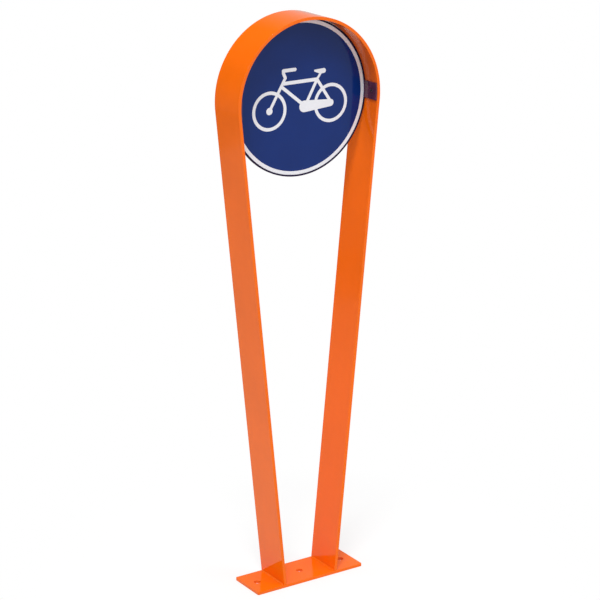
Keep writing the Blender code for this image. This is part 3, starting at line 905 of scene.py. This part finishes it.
def trim_profile():
    """Channel section of the rubber trim as (radius, y), with rounded lips."""
    wall_in = SHEET_RADIUS + GAP
    front_in = FILM_LOW.y - GAP
    back_in = SHEET_HIGH.y + GAP
    front_out = front_in - TRIM_LIP
    back_out = back_in + TRIM_LIP
    bead = TRIM_LIP / 2
    lip_middle = TRIM_LIP_EDGE + bead
    corner_middle = SIGN_RADIUS - TRIM_CROWN
    front_lip = arc((lip_middle, front_in - bead), bead, 90, 270, LIP_STEPS)
    front_corner = arc((corner_middle, front_out + TRIM_CROWN), TRIM_CROWN, 270, 360, EDGE_STEPS)
    back_corner = arc((corner_middle, back_out - TRIM_CROWN), TRIM_CROWN, 0, 90, EDGE_STEPS)
    back_lip = arc((lip_middle, back_in + bead), bead, 90, 270, LIP_STEPS)
    return front_lip + front_corner + back_corner + back_lip + [(wall_in, back_in), (wall_in, front_in)]


def make_edge_trims():
    """Carries the trim's section round the sign, from one clip to the other."""
    start = (CLIP_HALF_HEIGHT + GAP) / TRIM_LIP_EDGE
    profile = trim_profile()
    for name, level in LEVELS.items():
        sections = []
        for angle in spread(level * start, level * (math.pi - start), SHEET_STEPS):
            rim = [(*polar(radius, angle), y) for radius, y in profile]
            sections.append([Vector((x, y, z)) for x, z, y in rim])
        dress("rubber_edge_" + name, sweep(sections), edge_rubber, "black_rubber", "edge_trim_" + name,
              SHARP_ON_BEADS)


# ---------------------------------------------------------------- clips and fixings
def clip_section(side, z):
    """A clip's section at a height above the arch's centre: pad, bend and tab."""
    pad_out = math.sqrt(PAD_OUTER ** 2 - z ** 2)
    pad_in = math.sqrt(PAD_INNER ** 2 - z ** 2)
    tab_end = CLIP_LOW.x
    edge = CLIP_HIGH.y
    points = [(pad_out, -edge), (pad_out, edge), (pad_in, edge)]
    points += arc((pad_in - CLIP_BEND, TAB_BACK_Y + CLIP_BEND), CLIP_BEND, 0, -90, BEND_STEPS)
    points += [(tab_end, TAB_BACK_Y), (tab_end, TAB_FRONT_Y), (pad_in, TAB_FRONT_Y), (pad_in, -edge)]
    return [Vector((side * x, y, ARCH_CENTRE_Z + z)) for x, y in points]


def make_clips():
    """Two clips with countersunk holes for the screws and clear holes for the studs."""
    rim = SCREW_HEAD_DIAMETER / 2 + GAP
    shank = SCREW_SHANK_DIAMETER / 2 + GAP
    face = PAD_INNER + SCREW_SUNK
    neck = face + (SCREW_HEAD_DIAMETER - SCREW_SHANK_DIAMETER) / 2
    start, end = PAD_INNER - CUT_MARGIN, PAD_OUTER + CUT_MARGIN
    seat = [(start, 0), (start, rim), (face, rim), (neck, shank), (end, shank), (end, 0)]
    hole = drill(TAB_FRONT_Y - CUT_MARGIN, TAB_BACK_Y + CUT_MARGIN, STUD_DIAMETER / 2 + STUD_HOLE_CLEARANCE)
    for name, side in SIDES.items():
        sections = [clip_section(side, z) for z in spread(-CLIP_HALF_HEIGHT, CLIP_HALF_HEIGHT, CLIP_STEPS)]
        clip = place_mesh("coated_clip_" + name, sweep(sections), finish_of(clip_coating))
        round_edges(clip, CLIP_EDGE_ROUND, 2)
        for y in (-SCREW_Y, SCREW_Y):
            cut(clip, turned(seat, (0, y, ARCH_CENTRE_Z), (side, 0, 0), SMALL_SIDES))
        for level in LEVELS.values():
            middle = (side * STUD_X, 0, ARCH_CENTRE_Z + level * STUD_RISE)
            cut(clip, turned(hole, middle, (0, 1, 0), SMALL_SIDES))
        ride(even_normals(settle(clip)), "dark_powder_coat", "sign_clip_" + name)


def make_screws():
    """Countersunk screws with hexagon sockets, from inside the arch."""
    face = PAD_INNER + SCREW_SUNK
    tip = SCREW_HIGH.x
    shank = SCREW_SHANK_DIAMETER / 2
    head = SCREW_HEAD_DIAMETER / 2
    profile = [(face, 0), (face, head - SCREW_LAND), (face + SCREW_LAND, head), (face + head - shank, shank),
               (tip - SCREW_TIP_CHAMFER, shank), (tip, shank - SCREW_TIP_CHAMFER), (tip, 0)]
    socket = SCREW_SOCKET_WIDTH / math.sqrt(3)
    start, floor = face - CUT_MARGIN, face + SCREW_SOCKET_DEPTH
    bore = [(start, 0), (start, socket), (floor, socket), (floor + SCREW_SOCKET_CONE, 0)]
    for name, side in SIDES.items():
        for place, y in (("front", -SCREW_Y), ("rear", SCREW_Y)):
            origin, inward = (0, y, ARCH_CENTRE_Z), (side, 0, 0)
            screw = place_mesh("black_screw_%s_%s" % (name, place),
                               turned(profile, origin, inward, SMALL_SIDES), finish_of(screw_black))
            cut(screw, turned(bore, origin, inward, 6))
            ride(even_normals(settle(screw)), "dark_screws", "clip_screw_%s_%s" % (name, place))


def threaded_stud(x, z):
    """A stud with a real helical thread; its end is chamfered."""
    start, end = STUD_LOW.y, STUD_HIGH.y
    outer = STUD_DIAMETER / 2
    count = int((end - start) / (THREAD_PITCH / THREAD_STEPS))
    sections = []
    for y in spread(start, end, count):
        section = []
        limit = min(outer, outer - STUD_CHAMFER + (end - y))
        for step in range(THREAD_SIDES):
            phase = ((y - start) / THREAD_PITCH + step / THREAD_SIDES) % 1.0
            from_crest = abs(2 * phase - 1)
            fall = min(1.0, max(0.0, THREAD_FALL * from_crest - THREAD_FLAT))
            radius = min(limit, outer - THREAD_DEPTH * fall)
            turn = math.tau * step / THREAD_SIDES
            section.append(Vector((x + radius * math.cos(turn), y, z + radius * math.sin(turn))))
        sections.append(section)
    return sweep(sections)


def spun_section(x, z, section_at):
    """Skins the closed sections (radius, y) that section_at gives for each angle round a stud's axis."""
    sections = []
    for step in range(BOLT_SIDES):
        angle = math.tau * step / BOLT_SIDES
        sections.append([Vector((x + radius * math.sin(angle), y, z + radius * math.cos(angle)))
                         for radius, y in section_at(angle)])
    return sweep(sections, closed=True)


def hexagon_nut(x, z):
    """Hexagon with its corners turned off, a small countersink at each end of the bore."""
    bore = STUD_DIAMETER / 2 + GAP
    front, back = NUT_LOW.y, NUT_HIGH.y
    corner = NUT_WIDTH / math.sqrt(3)
    face = NUT_FACE_DIAMETER / 2
    lead = NUT_COUNTERSINK

    def section_at(angle):
        from_flat = (angle + math.pi / 6) % (math.pi / 3) - math.pi / 6
        side = NUT_WIDTH / 2 / math.cos(from_flat)
        drop = NUT_CHAMFER * (side - face) / (corner - face)
        return [(bore, front + lead), (bore + lead, front), (face, front), (side, front + drop),
                (side, back - drop), (face, back), (bore + lead, back), (bore, back - lead)]

    return spun_section(x, z, section_at)


def plain_washer(x, z):
    """A flat ring whose edges are softened, but for the front edge of its hole."""
    inner = STUD_DIAMETER / 2 + GAP
    outer = (WASHER_HIGH.x - WASHER_LOW.x) / 2
    front, back = WASHER_LOW.y, WASHER_HIGH.y
    soft = WASHER_EDGE
    ring = [(inner, front), (outer - soft, front), (outer, front + soft), (outer, back - soft),
            (outer - soft, back), (inner + soft, back), (inner, back - soft)]
    return spun_section(x, z, lambda angle: ring)


def make_back_fixings():
    """A stud, a washer and a nut at each of the four places on the sign's back."""
    for side_name, side in SIDES.items():
        for level_name, level in LEVELS.items():
            where = side_name + "_" + level_name
            x, z = side * STUD_X, ARCH_CENTRE_Z + level * STUD_RISE
            dress("threaded_stud_" + where, threaded_stud(x, z), stud_steel, "stainless",
                  "sign_stud_" + where, SHARP_ON_BEADS)
            dress("plain_washer_" + where, plain_washer(x, z), zinc_plate, "zinc_plate",
                  "sign_washer_" + where)
            dress("hexagon_nut_" + where, hexagon_nut(x, z), zinc_plate, "zinc_plate",
                  "sign_nut_" + where, SHARP_ON_NUTS)


# ---------------------------------------------------------------- stage
CAMERA_AZIMUTH = math.radians(33.249)
CAMERA_ELEVATION = math.radians(17.738)
CAMERA_ROLL = -0.0013               # in radians
CAMERA_DISTANCE = 5.3797
CAMERA_LENS = 126.306
CAMERA_SENSOR = 36
CAMERA_RANGE = (0.1, 60)
CAMERA_AIM_RIGHT = 3.09 * MM
CAMERA_AIM_Z = 763.82 * MM
LAMP_TARGET = (0, 0, 0.95)
MAIN_LAMP_PLACE, MAIN_LAMP_WIDTH = (-4.10, -4.89, 12.96), 3.0
FRONT_LAMP_PLACE, FRONT_LAMP_WIDTH = (2.7, -4.3, 5.9), 3.0
ROOM_LEVELS = (0.8, 1.35)           # the room's light from below and from above, as shares of its level
ROOM_RISE = (-0.1, 0.9)             # and where between straight down, -1, and straight up, 1, it changes
FLOOR_HALF_WIDTH = 4.0
FLOOR_DROP = 0.2 * MM               # below the plate, so that they share no plane
SHADOW_REACH = (0.2, 0.75)          # from the middle: full shadow up to here, plain white from here
SHADOW_GLOW = 0.70                  # how much plain white the shadowed floor already holds
BOUNCE_SHARE = 0.82                 # how much of the floor's colour the object's underside gets back
MIRRORED_FLOOR = (0.3, 2.9, 0.55)   # the mirrored floor dims from the first y to the second, to this level
FLAG_PLACE = (3.6, 3.0, -0.4)
FLAG_SIZE = (7.0, 5.5)
FLAG_FADE_SIDE = 3.3
FLAG_FADE_LOW = 0.6
FLAG_FADE_RIM = 1.0
FLAG_LOW_COVER = 0.78               # the cloth is this dense near the floor
FLAG_DENSE_RISE = (0.9, 2.4)        # and fully dense from the second height on


def make_camera():
    """Stands where the photo was taken from."""
    back = Vector((-math.sin(CAMERA_AZIMUTH) * math.cos(CAMERA_ELEVATION),
                   -math.cos(CAMERA_AZIMUTH) * math.cos(CAMERA_ELEVATION), math.sin(CAMERA_ELEVATION)))
    right = (-back).cross(Vector((0, 0, 1))).normalized()
    up = right.cross(-back)
    roll = Matrix.Rotation(CAMERA_ROLL, 3, back)
    data = bpy.data.cameras.new("photo_camera")
    data.lens = CAMERA_LENS
    data.sensor_width = CAMERA_SENSOR
    data.clip_start, data.clip_end = CAMERA_RANGE
    camera = add_object("photo_camera", data)
    place = Vector((0, 0, CAMERA_AIM_Z)) + right * CAMERA_AIM_RIGHT + back * CAMERA_DISTANCE
    turn = Matrix((roll @ right, roll @ up, back)).transposed().to_4x4()
    camera.matrix_world = Matrix.Translation(place) @ turn
    bpy.context.scene.camera = camera


def add_softbox(name, place, width, power):
    """A square lamp that faces the upper part of the signpost."""
    lamp = bpy.data.lights.new(name, "AREA")
    lamp.shape = "SQUARE"
    lamp.size = width
    lamp.energy = power
    holder = add_object(name, lamp)
    holder.location = place
    holder.rotation_mode = "QUATERNION"
    holder.rotation_quaternion = (Vector(LAMP_TARGET) - Vector(place)).to_track_quat("-Z", "Y")
    holder.visible_camera = False


def floor_material():
    """Pale floor that keeps the object's shadow near it and runs out to plain white."""
    colour = tuple(bpy.context.scene.signpost_stage.floor)
    nodes = Nodes("pale_studio_floor")
    grain = nodes.noise(3.0, 4.0, 0.55)
    base = nodes.blend(nodes.span(grain, 0.35, 0.68), shade(colour, 0.985), colour)
    rays = nodes.add("LightPath").outputs
    base = nodes.blend(rays["Is Diffuse Ray"], base, shade(colour, BOUNCE_SHARE))
    nodes.set(Base_Color=base, Roughness=0.9, Specular_IOR_Level=0.0)
    x, y = nodes.axes()[:2]
    squares = nodes.math("MULTIPLY", x, x), nodes.math("MULTIPLY", y, y)
    reach = nodes.math("SQRT", nodes.math("ADD", *squares))
    seen = nodes.math("MAXIMUM", rays["Is Camera Ray"], rays["Is Glossy Ray"])
    far = nodes.math("MULTIPLY", nodes.span(reach, *SHADOW_REACH, SHADOW_GLOW, 1.0), seen)
    dim_from, dim_to, dim_level = MIRRORED_FLOOR
    mirrored = nodes.span(y, dim_from, dim_to, 1.0, dim_level)
    glow = nodes.add("Emission", Strength=nodes.math("MAXIMUM", mirrored, rays["Is Camera Ray"]))
    mixed = nodes.add("MixShader", Fac=far)
    nodes.link(nodes.shader.outputs[0], mixed.inputs[1])
    nodes.link(glow.outputs[0], mixed.inputs[2])
    nodes.link(mixed.outputs[0], nodes.tree.nodes["Material Output"].inputs["Surface"])
    return nodes.made


def make_floor():
    mesh_data = bmesh.new()
    bmesh.ops.create_grid(mesh_data, x_segments=8, y_segments=8, size=FLOOR_HALF_WIDTH)
    floor = add_mesh("studio_floor", mesh_data, floor_material())
    floor.location.z = -FLOOR_DROP


def make_world():
    """Even light from all round; the background is plain white, in gloss and glass too."""
    low_level, high_level = (share * bpy.context.scene.signpost_stage.sky_level for share in ROOM_LEVELS)
    nodes = Nodes("studio_room", room=True)
    room = nodes.span(nodes.axes()[2], *ROOM_RISE, low_level, high_level)
    rays = nodes.add("LightPath").outputs
    seen = nodes.math("MAXIMUM", rays["Is Camera Ray"], rays["Is Glossy Ray"])
    seen = nodes.math("MAXIMUM", seen, rays["Is Transmission Ray"])
    level = nodes.add("Mix")
    nodes.link(seen, level.inputs[0])
    nodes.link(room, level.inputs[2])
    nodes.link(1.0, level.inputs[3])
    bpy.context.scene.world = nodes.set(Color=(1.0, 1.0, 1.0), Strength=level.outputs[0])


def make_flag():
    """Dark studio cloth behind the left side, seen only in gloss; its edges fade out."""
    width, height = FLAG_SIZE
    mesh_data = bmesh.new()
    outline = ((-width, 0), (0, 0), (0, height), (-width, height))
    mesh_data.faces.new([mesh_data.verts.new((x, 0, z)) for x, z in outline])
    nodes = Nodes("dark_flag_cloth")
    flag = add_mesh("dark_flag", mesh_data, nodes.made)
    flag.location = FLAG_PLACE
    flag.visible_camera = flag.visible_diffuse = flag.visible_shadow = flag.visible_transmission = False
    x, z = nodes.axes()[::2]
    weave = nodes.span(nodes.noise(6.0, 3.0, 0.5), 0.3, 0.7)
    nodes.set(Base_Color=nodes.blend(weave, (0.05, 0.05, 0.05), (0.07, 0.07, 0.07)), Roughness=0.9,
              Specular_IOR_Level=0.0)
    cover = nodes.math("MULTIPLY", nodes.span(x, 0.0, -FLAG_FADE_SIDE), nodes.span(z, 0.0, FLAG_FADE_LOW))
    cover = nodes.math("MULTIPLY", cover, nodes.span(x, -width, -width + FLAG_FADE_RIM))
    cover = nodes.math("MULTIPLY", cover, nodes.span(z, height, height - FLAG_FADE_RIM))
    cover = nodes.math("MULTIPLY", cover, nodes.span(z, *FLAG_DENSE_RISE, FLAG_LOW_COVER, 1.0))
    nodes.link(cover, nodes.shader.inputs["Alpha"])


def make_lamps():
    stage = bpy.context.scene.signpost_stage
    add_softbox("main_softbox", MAIN_LAMP_PLACE, MAIN_LAMP_WIDTH, stage.key_power)
    add_softbox("front_softbox", FRONT_LAMP_PLACE, FRONT_LAMP_WIDTH, stage.fill_power)


# ---------------------------------------------------------------- operators, panel and run
class SIGNPOST_OT_stage(bpy.types.Operator):
    """Makes the camera, the lamps, the room light and the pale floor"""
    bl_idname = "signpost.stage"
    bl_label = "Stage"

    def execute(self, context):
        make_camera()
        make_lamps()
        make_world()
        make_floor()
        make_flag()
        context.scene.view_settings.view_transform = "Standard"
        return {"FINISHED"}


class SIGNPOST_OT_band(bpy.types.Operator):
    """Makes the painted band, from one foot over the arch to the other"""
    bl_idname = "signpost.band"
    bl_label = "Painted band"

    def execute(self, context):
        make_band()
        return {"FINISHED"}


class SIGNPOST_OT_foot_plate(bpy.types.Operator):
    """Makes the painted foot plate with its three anchor holes"""
    bl_idname = "signpost.foot_plate"
    bl_label = "Foot plate"

    def execute(self, context):
        make_foot_plate()
        return {"FINISHED"}


class SIGNPOST_OT_welds(bpy.types.Operator):
    """Makes the four rippled weld beads at the feet"""
    bl_idname = "signpost.welds"
    bl_label = "Welds"

    def execute(self, context):
        make_welds()
        return {"FINISHED"}


class SIGNPOST_OT_sign_sheets(bpy.types.Operator):
    """Makes the sign's aluminium sheet and its blue film"""
    bl_idname = "signpost.sign_sheets"
    bl_label = "Sign sheets"

    def execute(self, context):
        make_sign_sheets()
        return {"FINISHED"}


class SIGNPOST_OT_sign_print(bpy.types.Operator):
    """Makes the white ring and the white bicycle"""
    bl_idname = "signpost.sign_print"
    bl_label = "Ring and bicycle"

    def execute(self, context):
        make_sign_print()
        return {"FINISHED"}


class SIGNPOST_OT_edge_trims(bpy.types.Operator):
    """Makes the two rubber trims round the sign's edge"""
    bl_idname = "signpost.edge_trims"
    bl_label = "Edge trims"

    def execute(self, context):
        make_edge_trims()
        return {"FINISHED"}


class SIGNPOST_OT_clips(bpy.types.Operator):
    """Makes the two clips and the screws that hold them to the band"""
    bl_idname = "signpost.clips"
    bl_label = "Clips and screws"

    def execute(self, context):
        make_clips()
        make_screws()
        return {"FINISHED"}


class SIGNPOST_OT_back_fixings(bpy.types.Operator):
    """Makes the studs, washers and nuts on the sign's back"""
    bl_idname = "signpost.back_fixings"
    bl_label = "Studs, washers and nuts"

    def execute(self, context):
        make_back_fixings()
        return {"FINISHED"}


OPERATORS = (SIGNPOST_OT_stage, SIGNPOST_OT_band, SIGNPOST_OT_foot_plate, SIGNPOST_OT_welds,
             SIGNPOST_OT_sign_sheets, SIGNPOST_OT_sign_print, SIGNPOST_OT_edge_trims,
             SIGNPOST_OT_clips, SIGNPOST_OT_back_fixings)
SETTINGS = {"signpost_sizes": SIGNPOST_PG_sizes, "signpost_print": SIGNPOST_PG_print,
            "signpost_finishes": SIGNPOST_PG_finishes, "signpost_stage": SIGNPOST_PG_stage}


class SIGNPOST_PT_panel(bpy.types.Panel):
    """Lists the signpost's settings and the steps that make it"""
    bl_idname = "SIGNPOST_PT_panel"
    bl_label = "Signpost"
    bl_space_type = "VIEW_3D"
    bl_region_type = "UI"
    bl_category = "Signpost"

    def draw(self, context):
        layout = self.layout
        for step in OPERATORS:
            layout.operator(step.bl_idname)
        for name in SETTINGS:
            box = layout.box()
            group = getattr(context.scene, name)
            for key in group.bl_rna.properties.keys():
                if key not in ("rna_type", "name"):
                    box.prop(group, key)


def register():
    for name, group in SETTINGS.items():
        bpy.utils.register_class(group)
        setattr(bpy.types.Scene, name, bpy.props.PointerProperty(type=group))
    for step in OPERATORS:
        bpy.utils.register_class(step)
    bpy.utils.register_class(SIGNPOST_PT_panel)


def unregister():
    bpy.utils.unregister_class(SIGNPOST_PT_panel)
    for step in reversed(OPERATORS):
        bpy.utils.unregister_class(step)
    for name, group in SETTINGS.items():
        delattr(bpy.types.Scene, name)
        bpy.utils.unregister_class(group)


def main():
    register()
    for step in OPERATORS:
        group, word = step.bl_idname.split(".")
        getattr(getattr(bpy.ops, group), word)()


if __name__ == "__main__":
    main()
